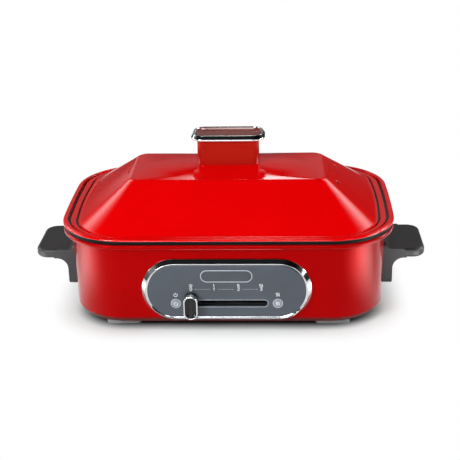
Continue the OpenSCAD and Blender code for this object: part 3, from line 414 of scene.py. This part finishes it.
def vent_cutter(side):
    """Countersunk round cutter square to the right slope of the lid."""
    across = Vector((0, 1, 0))
    along = across.cross(VENT_NORMAL)
    centre = Vector((VENT_AT[0], side * VENT_AT[1], VENT_AT[2]))
    points = []
    for radius, depth in VENT_SECTION:
        for i in range(VENT_SIDES):
            a = 2 * math.pi * i / VENT_SIDES
            spoke = along * math.cos(a) + across * math.sin(a)
            points.append(centre + VENT_NORMAL * depth + spoke * radius)
    faces = [tuple(reversed(range(VENT_SIDES)))]
    for k in range(len(VENT_SECTION) - 1):
        low = k * VENT_SIDES
        faces += [(low + i, low + (i + 1) % VENT_SIDES, low + VENT_SIDES + (i + 1) % VENT_SIDES,
                   low + VENT_SIDES + i) for i in range(VENT_SIDES)]
    last = (len(VENT_SECTION) - 1) * VENT_SIDES
    faces.append(tuple(last + i for i in range(VENT_SIDES)))
    mesh = bpy.data.meshes.new("vent_cutter")
    mesh.from_pydata([p * MM for p in points], [], faces)
    shape = bmesh.new()
    shape.from_mesh(mesh)
    bmesh.ops.recalc_face_normals(shape, faces=shape.faces)
    shape.to_mesh(mesh)
    shape.free()
    made = bpy.data.objects.new("vent_cutter", mesh)
    bpy.context.collection.objects.link(made)
    return made


def cut(made, cutters):
    """Cuts holes into a piece and keeps the result as its mesh."""
    for cutter in cutters:
        hole = made.modifiers.new("hole", "BOOLEAN")
        hole.object = cutter
        hole.operation = "DIFFERENCE"
        hole.solver = "EXACT"
    shown = made.evaluated_get(bpy.context.evaluated_depsgraph_get())
    made.data = bpy.data.meshes.new_from_object(shown)
    made.modifiers.clear()
    for cutter in cutters:
        bpy.data.objects.remove(cutter)


lid = piece("lid_pressing", *loft(lid_rings()), lid_enamel, "lid", "lid_enamel")
cut(lid, [vent_cutter(side) for side in (-1, 1)])
smoothed(lid, CREASE)
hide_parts("lid_shell")

# Sensor spring: wound wire with closed ends, drawn at the solid spring's length; in the cooker it shortens as
# the pan presses the plunger down.
# Turns in all, closed turns at each end, and radius of the wire
SPRING_TURNS, SPRING_CLOSED, SPRING_WIRE = 4.0, 0.6, 0.55
SPRING_STEPS, SPRING_SIDES = 30, 10
spring_low, spring_high = ([c / MM for c in corner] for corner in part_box("sensor_spring"))


def spring_skin():
    """Points and faces of the wire: the closed turns lie flat and the rest climbs evenly."""
    radius = (spring_high[0] - spring_low[0]) / 2 - SPRING_WIRE
    low, high = spring_low[2] + SPRING_WIRE, spring_high[2] - SPRING_WIRE
    count = round(SPRING_TURNS * SPRING_STEPS)
    points, faces = [], [tuple(range(SPRING_SIDES))]
    for i in range(count + 1):
        turn = i / SPRING_STEPS
        climb = min(max((turn - SPRING_CLOSED) / (SPRING_TURNS - 2 * SPRING_CLOSED), 0), 1)
        a = 2 * math.pi * turn
        for k in range(SPRING_SIDES):
            b = 2 * math.pi * k / SPRING_SIDES
            out = radius + SPRING_WIRE * math.cos(b)
            points.append((out * math.cos(a), out * math.sin(a),
                           low + (high - low) * climb + SPRING_WIRE * math.sin(b)))
    for i in range(count):
        here, after = i * SPRING_SIDES, (i + 1) * SPRING_SIDES
        for k in range(SPRING_SIDES):
            n = (k + 1) % SPRING_SIDES
            faces.append((here + n, here + k, after + k, after + n))
    faces.append(tuple(count * SPRING_SIDES + k for k in reversed(range(SPRING_SIDES))))
    return points, faces


spring = piece("sensor_coil", *spring_skin(), zinc_steel, "base", "zinc_steel")
smoothed(spring, WIRE_CREASE)
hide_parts("sensor_spring")
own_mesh(spring)

# Bezel: a plated ring with a rounded crest, a broad bevel back to the shell, and a ledge for the plate.
# Width of the solid bezel, by which the panel opening is found from its box
BEZEL_WIDE = 3.2
# Corners of its section: out from the panel opening, forward of the crest, and rounding
BEZEL_SECTION = ((-2.0, -6.6, 0), (-2.0, -2.7, 0), (0, -2.7, 0), (0, -0.40, 0.2), (0.40, 0, 0.3),
                 (3.9, -3.6, 0.9), (4.3, -6.6, 0))
BEZEL_STEPS = 40
# The bevel is broader above the panel than below it: how far its outer edge sits above the opening's middle
BEZEL_RISE = 1.0
bezel_low, bezel_high = ([c / MM for c in corner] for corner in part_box("control_bezel"))


def bezel_skin():
    """Points and faces of the bezel's section carried round the stadium of the panel opening."""
    middle = (bezel_low[2] + bezel_high[2]) / 2
    opening = (bezel_high[2] - bezel_low[2]) / 2 - BEZEL_WIDE
    axis = (bezel_high[0] - bezel_low[0]) / 2 - BEZEL_WIDE - opening
    section = eased(BEZEL_SECTION)
    widest = max(out for out, _ in section)
    count = 2 * (BEZEL_STEPS + 1)
    points, faces = [], []
    for out, forward in section:
        for side, first in ((1, -90), (-1, 90)):
            for i in range(BEZEL_STEPS + 1):
                a = math.radians(first + 180 * i / BEZEL_STEPS)
                points.append((side * axis + (opening + out) * math.cos(a), bezel_low[1] - forward,
                               middle + (opening + out) * math.sin(a) + BEZEL_RISE * max(out, 0) / widest))
    for k in range(len(section)):
        here, after = k * count, (k + 1) % len(section) * count
        for i in range(count):
            n = (i + 1) % count
            faces.append((here + i, here + n, after + n, after + i))
    return points, faces


bezel = piece("bezel_ring", *bezel_skin(), chrome, "base", "chrome_plate")
smoothed(bezel, CREASE)
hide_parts("control_bezel")

# Panel marks: flat strokes on the plate, millimetres across and up the front face.
PLATE_FRONT, BADGE_FRONT, LENS_FRONT = (
    -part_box(node)[0][1] / MM for node in ("control_panel", "badge_plate", "power_lamp"))
INK_THICK = 0.05
# Least cosine at a bend, which keeps sharp bends from growing long points
MITRE_LEAST = 0.5


def stroke_edges(points, width, closed):
    """Points on both edges of a stroke, mitred at its bends."""
    run = [Vector(p) for p in points]
    count = len(run)
    sides = []
    for k, here in enumerate(run):
        before = run[k - 1] if closed or k else None
        after = run[(k + 1) % count] if closed or k < count - 1 else None
        ways = [(b - a).normalized() for a, b in ((before, here), (here, after))
                if a is not None and b is not None]
        normals = [Vector((-w.y, w.x)) for w in ways]
        mean = sum(normals, Vector((0, 0))).normalized()
        reach = width / 2 / max(mean.dot(normals[0]), MITRE_LEAST)
        sides.append((here + mean * reach, here - mean * reach))
    return sides


def printed(name, strokes, front, material, body, slot):
    """A print of (points, width, closed) strokes that stands a hair proud of the face it is on."""
    points, faces = [], []
    for run, width, closed in strokes:
        sides = stroke_edges(run, width, closed)
        first = len(points)
        for one, other in sides:
            points += [(one.x, -front - INK_THICK, one.y), (other.x, -front - INK_THICK, other.y)]
        count = len(sides)
        for k in range(count if closed else count - 1):
            n = (k + 1) % count
            faces.append((first + 2 * k, first + 2 * k + 1, first + 2 * n + 1, first + 2 * n))
    made = piece(name, points, faces, material, body, slot)
    shape = bmesh.new()
    shape.from_mesh(made.data)
    for face in shape.faces:
        if face.normal.y > 0:
            face.normal_flip()
    shape.to_mesh(made.data)
    shape.free()
    body_of_ink = made.modifiers.new("ink", "SOLIDIFY")
    body_of_ink.thickness = INK_THICK * MM
    body_of_ink.offset = -1


def arc_points(cx, cz, radius, start, end, steps=20):
    """Points on an arc in degrees."""
    angles = [math.radians(start + (end - start) * i / steps) for i in range(steps + 1)]
    return [(cx + radius * math.cos(a), cz + radius * math.sin(a)) for a in angles]


def pill(cx, cz, half_x, half_z, steps=16):
    """Points of a stadium outline."""
    return (arc_points(cx + half_x - half_z, cz, half_z, -90, 90, steps)
            + arc_points(cx - half_x + half_z, cz, half_z, 90, 270, steps))


# Plain numerals drawn in a unit square, and whether their line closes
NUMERALS = {
    0: ([(0, 0.25), (0, 0.75), (0.25, 1), (0.75, 1), (1, 0.75), (1, 0.25), (0.75, 0), (0.25, 0)], True),
    1: ([(0.2, 0.75), (0.6, 1), (0.6, 0)], False),
    2: ([(0, 0.78), (0.25, 1), (0.75, 1), (1, 0.78), (1, 0.6), (0, 0), (1, 0)], False),
    3: ([(0, 1), (1, 1), (0.45, 0.58), (0.8, 0.56), (1, 0.3), (0.75, 0), (0.25, 0), (0, 0.2)], False)}
NUMERAL_SIZE = (1.9, 2.9)
STROKE = 0.5
# Power signs: ends of the open ring in degrees, and of its bar as shares of the ring's radius
POWER_ARC, POWER_BAR = (125, 415), (0.2, 1.25)
# Heat signs: spacing, swing and steps of a wave
WAVE_APART, WAVE_SWING, WAVE_STEPS = 1.25, 0.3, 8
# The stops along the slot, with a sign and a numeral over each and dashes from one to the next
STOPS = (-34.15, -12.0, 11.4, 33.15)
SIGN_UP, OFF_SIZE, HEAT_SIZE = 48.9, 1.25, 1.5
NUMERAL_UP = 43.7
DASH, DASH_WIDTH, DASH_UP = 1.3, 0.22, NUMERAL_UP + 1.2
DASH_AFTER, DASH_BEFORE = 4.0, 3.0
TICK_TOP, TICK_LOW, TICK_WIDTH = 43.0, 42.4, 0.6
# The slot and the lamps beside it, with a ring round each and a sign over and on each lamp
SLOT_UP = 30.0
SLOT_RING, SLOT_MIDDLE, SLOT_RING_WIDTH = (40.3, 3.65), -0.5, 0.4
LAMP_X, LAMP_RING, LAMP_RING_WIDTH, LAMP_RING_SIDES = 49.0, 4.5, 0.7, 24
POWER_UP, POWER_SIZE = 39.0, 1.7
HEATING_UP, HEATING_SIZE, HEATING_WAVES = 39.3, 1.9, 3
LENS_SIGN_SIZE, LENS_SIGN_DROP = 1.9, 0.2
# The line round the badge
BADGE_UP, BADGE_HALF, BADGE_LINE = 58.7, (24.5, 5.85), 0.8


def numeral(value, cx, low):
    """Strokes of a plain numeral centred at cx."""
    run, closed = NUMERALS[value]
    wide, tall = NUMERAL_SIZE
    return [([(cx + (x - 0.5) * wide, low + z * tall) for x, z in run], STROKE, closed)]


def power_sign(cx, cz, size):
    """Strokes of an open ring with a bar through the gap."""
    bar = [(cx, cz + size * share) for share in POWER_BAR]
    return [(arc_points(cx, cz, size, *POWER_ARC), STROKE, False), (bar, STROKE, False)]


def heat_sign(cx, cz, size, count):
    """Strokes of upright heat waves."""
    strokes = []
    for k in range(count):
        x = cx + (k - (count - 1) / 2) * WAVE_APART
        shares = [i / WAVE_STEPS for i in range(WAVE_STEPS + 1)]
        wave = [(x + WAVE_SWING * math.sin(2 * math.pi * s), cz - size + 2 * size * s) for s in shares]
        strokes.append((wave, STROKE, False))
    return strokes


marks = []
for value, x in enumerate(STOPS):
    marks += numeral(value, x, NUMERAL_UP)
    marks += power_sign(x, SIGN_UP, OFF_SIZE) if value == 0 else heat_sign(x, SIGN_UP, HEAT_SIZE, value)
for left, right in zip(STOPS, STOPS[1:]):
    x = left + DASH_AFTER
    while x + DASH < right - DASH_BEFORE:
        marks.append(([(x, DASH_UP), (x + DASH, DASH_UP)], DASH_WIDTH, False))
        x += 2 * DASH
marks.append(([(STOPS[0], TICK_TOP), (STOPS[0], TICK_LOW)], TICK_WIDTH, False))
marks += power_sign(-LAMP_X, POWER_UP, POWER_SIZE)
marks += heat_sign(LAMP_X, HEATING_UP, HEATING_SIZE, HEATING_WAVES)
printed("panel_marks", marks, PLATE_FRONT, mark_ink, "base", "panel_grey")

foil_border = [(pill(0, BADGE_UP, *BADGE_HALF), BADGE_LINE, True)]
printed("badge_border", foil_border, BADGE_FRONT, stamped_foil, "base", "badge_grey")
foil_rings = []
for x in (-LAMP_X, LAMP_X):
    around = arc_points(x, SLOT_UP, LAMP_RING, 0, 360 - 360 / LAMP_RING_SIDES, LAMP_RING_SIDES - 1)
    foil_rings.append((around, LAMP_RING_WIDTH, True))
foil_rings.append((pill(SLOT_MIDDLE, SLOT_UP, *SLOT_RING), SLOT_RING_WIDTH, True))
printed("lamp_and_slot_rings", foil_rings, PLATE_FRONT, stamped_foil, "base", "panel_grey")
lens_signs = power_sign(-LAMP_X, SLOT_UP - LENS_SIGN_DROP, LENS_SIGN_SIZE)
lens_signs += heat_sign(LAMP_X, SLOT_UP, LENS_SIGN_SIZE, HEATING_WAVES)
printed("lens_signs", lens_signs, LENS_FRONT, mark_ink, "base", "lamp_lens")

# Floor: white paper with a painted shadow under the base, that shows the real shadow close by and reads as
# white further out.
FLOOR_HALF = 40.0
# Corner axes of the base, and spans from them, in metres, over which the paper's painted shadow lifts, it
# turns white, and its glow in reflections fades
BASE_AXES = (0.100, 0.045, 0)
PAINTED_SHADOW_SPAN, WHITE_SPAN, MIRROR_SPAN = (0.037, 0.059), (0.050, 0.085), (0.5, 1.6)
# Glow of the paper in reflections, near and far
MIRROR_GLOW = (1.0, 0.08)
floor_mesh = bpy.data.meshes.new("floor")
floor_mesh.from_pydata([(-FLOOR_HALF, -FLOOR_HALF, 0), (FLOOR_HALF, -FLOOR_HALF, 0),
                        (FLOOR_HALF, FLOOR_HALF, 0), (-FLOOR_HALF, FLOOR_HALF, 0)], [], [(0, 1, 2, 3)])
floor = bpy.data.objects.new("floor", floor_mesh)
bpy.context.collection.objects.link(floor)
paper = bpy.data.materials.new("white_paper_sweep")
paper.use_nodes = True
tree = paper.node_tree
tree.nodes.clear()
place = add(tree, "ShaderNodeTexCoord")
folded = add(tree, "ShaderNodeVectorMath", {"operation": "ABSOLUTE"}, {0: (place, "Object")})
beside = add(tree, "ShaderNodeVectorMath", {"operation": "SUBTRACT"}, {0: (folded, "Vector"), 1: BASE_AXES})
beyond = add(tree, "ShaderNodeVectorMath", {"operation": "MAXIMUM"}, {0: (beside, "Vector"), 1: (0, 0, 0)})
reach = add(tree, "ShaderNodeVectorMath", {"operation": "LENGTH"}, {0: (beyond, "Vector")})
away = fade(tree, (reach, "Value"), *WHITE_SPAN)
# Painted shadow: the paper's colour goes from near black under the base to a white tinted a touch blue-green,
# which cancels the red light the enamel throws on it
clear = fade(tree, (reach, "Value"), *PAINTED_SHADOW_SPAN)
paper_with_painted_shadow = blend(tree, clear, linear("#1C1C1C"), linear("#F1F5F5"))
path = add(tree, "ShaderNodeLightPath")
seen = add(tree, "ShaderNodeMath", {"operation": "MAXIMUM"}, {
    0: (path, "Is Camera Ray"), 1: (path, "Is Glossy Ray")})
shown = add(tree, "ShaderNodeMath", {"operation": "MAXIMUM"}, {
    0: (seen, "Value"), 1: (path, "Is Transmission Ray")})
share = add(tree, "ShaderNodeMath", {"operation": "MULTIPLY"}, {0: away, 1: (shown, "Value")})
lit = add(tree, "ShaderNodeBsdfDiffuse", None, {"Color": paper_with_painted_shadow})
mirrored = fade(tree, (reach, "Value"), *MIRROR_SPAN, *MIRROR_GLOW)
strength = add(tree, "ShaderNodeMath", {"operation": "MAXIMUM"}, {
    0: (path, "Is Camera Ray"), 1: mirrored})
white = add(tree, "ShaderNodeEmission", None, {"Color": linear("#FFFFFF"), "Strength": (strength, "Value")})
both = add(tree, "ShaderNodeMixShader", None, {
    "Fac": (share, "Value"), 1: (lit, "BSDF"), 2: (white, "Emission")})
add(tree, "ShaderNodeOutputMaterial", None, {"Surface": (both, "Shader")})
floor_mesh.materials.append(paper)

# Studio: a wall all round, palest a little above the table, dark higher up and dimmer to the right.
# Height, as the upward share of a direction, and glow of each stop: the two that a new ramp has come first
STUDIO_WALL = ((0.0, 0.10), (1.0, 0.012), (0.16, 0.13), (0.30, 0.26), (0.42, 0.24), (0.60, 0.015))
# Span to the right, as a share of a direction too, over which the wall dims, and what is left of its glow
RIGHT_SPAN, RIGHT_DIM = (0.1, 0.45), 0.2
world = bpy.data.worlds.new("studio")
world.use_nodes = True
bpy.context.scene.world = world
tree = world.node_tree
tree.nodes.clear()
way = add(tree, "ShaderNodeTexCoord")
rise = add(tree, "ShaderNodeSeparateXYZ", None, {"Vector": (way, "Generated")})
wall = add(tree, "ShaderNodeValToRGB", None, {"Fac": (rise, "Z")})
wall.color_ramp.interpolation = "EASE"
for k, (up, glow) in enumerate(STUDIO_WALL):
    stop = wall.color_ramp.elements[k] if k < 2 else wall.color_ramp.elements.new(up)
    stop.position = up
    stop.color = (glow, glow, glow, 1)
dim = fade(tree, (rise, "X"), *RIGHT_SPAN, 1.0, RIGHT_DIM)
air = add(tree, "ShaderNodeBackground", None, {"Color": (wall, "Color"), "Strength": dim})
add(tree, "ShaderNodeOutputWorld", None, {"Surface": (air, "Background")})


def softbox(name, at, aim, width, height, watts, feather, lights=True):
    """A rectangular soft light whose glow fades out over a share of its half width and height.

    One that doesn't light is a card that only shows as a reflection.
    """
    lamp = bpy.data.lights.new(name, "AREA")
    lamp.shape = "RECTANGLE"
    lamp.size = width
    lamp.size_y = height
    lamp.energy = watts
    lamp.use_nodes = True
    facing = (Vector(aim) - Vector(at)).to_track_quat("-Z", "Y")
    glow = lamp.node_tree
    glow.nodes.clear()
    spot = add(glow, "ShaderNodeNewGeometry")
    offset = add(glow, "ShaderNodeVectorMath", {"operation": "SUBTRACT"}, {0: (spot, "Position"), 1: at})
    faded = []
    for axis, half in (((1, 0, 0), width / 2), ((0, 1, 0), height / 2)):
        along = add(glow, "ShaderNodeVectorMath", {"operation": "DOT_PRODUCT"}, {
            0: (offset, "Vector"), 1: facing @ Vector(axis) / half})
        out = add(glow, "ShaderNodeMath", {"operation": "ABSOLUTE"}, {0: (along, "Value")})
        faded.append(fade(glow, (out, "Value"), 1.0, 1.0 - feather))
    strength = add(glow, "ShaderNodeMath", {"operation": "MULTIPLY"}, {0: faded[0], 1: faded[1]})
    shine = add(glow, "ShaderNodeEmission", None, {
        "Color": linear("#FFFFFF"), "Strength": (strength, "Value")})
    add(glow, "ShaderNodeOutputLight", None, {"Surface": (shine, "Emission")})
    made = bpy.data.objects.new(name, lamp)
    made.location = at
    made.rotation_euler = facing.to_euler()
    made.visible_camera = False
    made.visible_diffuse = lights
    bpy.context.collection.objects.link(made)


# Lights: where they aim, then place, width and height in metres, watts and faded share of each
AIM = (0, 0, 0.07)
SOFTBOXES = {
    "key_left": ((-0.85, -1.10, 0.72), 0.7, 0.6, 29, 0.5),
    "key_right": ((1.3, -1.9, 0.95), 1.0, 0.8, 8, 0.5),
    "key_middle": ((-0.2, -2.1, 0.75), 1.4, 0.5, 24, 0.5),
    "top": ((-0.55, -0.60, 1.6), 0.9, 0.6, 7, 1.0),
    "left_side": ((-0.90, 0.80, 0.88), 0.8, 0.9, 6.8, 1.0),
    "right_side": ((0.86, 0.80, 0.95), 0.8, 0.9, 9, 1.0),
    "left_low": ((-1.45, 0.25, 0.55), 1.5, 0.35, 12, 0.6),
    "right_low": ((1.45, 0.05, 0.55), 1.5, 0.35, 36, 0.6),
    "back_glow": ((0.0, 1.0, 1.30), 0.50, 0.36, 6.5, 1.0),
    "back_left_card": ((-0.85, 2.0, 0.30), 0.6, 0.5, 0.5, 1.0)}
for name, (at, width, height, watts, feather) in SOFTBOXES.items():
    softbox(name, at, AIM, width, height, watts, feather)
# Cards flat on the table beside the handles, which gleam on the corners of the base: place and watts
CARD_UP, CARD_SIZE = 0.002, 0.25
CARDS = {"left_card": (-0.29, -0.10, 0.9), "right_card": (0.28, -0.15, 2.1)}
for name, (x, y, watts) in CARDS.items():
    softbox(name, (x, y, CARD_UP), (x, y, 1), CARD_SIZE, CARD_SIZE, watts, 1.0, lights=False)

# Camera at the photograph's angle, worked out for a square frame.
CAMERA_YAW, CAMERA_PITCH, CAMERA_ROLL = (math.radians(a) for a in (2.57, 21.58, -1.14))
CAMERA_TARGET = Vector((-0.15, 0, 64.66)) * MM
CAMERA_REACH = 1136.36 * MM
SENSOR_MM, LENS_MM = 36, 85.78
NEAREST = 0.05
backward = Vector((math.sin(CAMERA_YAW) * math.cos(CAMERA_PITCH),
                   -math.cos(CAMERA_YAW) * math.cos(CAMERA_PITCH), math.sin(CAMERA_PITCH)))
across = Vector((math.cos(CAMERA_YAW), math.sin(CAMERA_YAW), 0))
upright = backward.cross(across)
camera_right = across * math.cos(CAMERA_ROLL) + upright * math.sin(CAMERA_ROLL)
camera_up = upright * math.cos(CAMERA_ROLL) - across * math.sin(CAMERA_ROLL)
lens = bpy.data.cameras.new("photo_camera")
lens.sensor_width = SENSOR_MM
lens.lens = LENS_MM
lens.clip_start = NEAREST
camera = bpy.data.objects.new("photo_camera", lens)
turn = Matrix((camera_right, camera_up, backward)).transposed().to_4x4()
camera.matrix_world = Matrix.Translation(CAMERA_TARGET + backward * CAMERA_REACH) @ turn
bpy.context.collection.objects.link(camera)
bpy.context.scene.camera = camera
bpy.context.scene.view_settings.view_transform = "Standard"
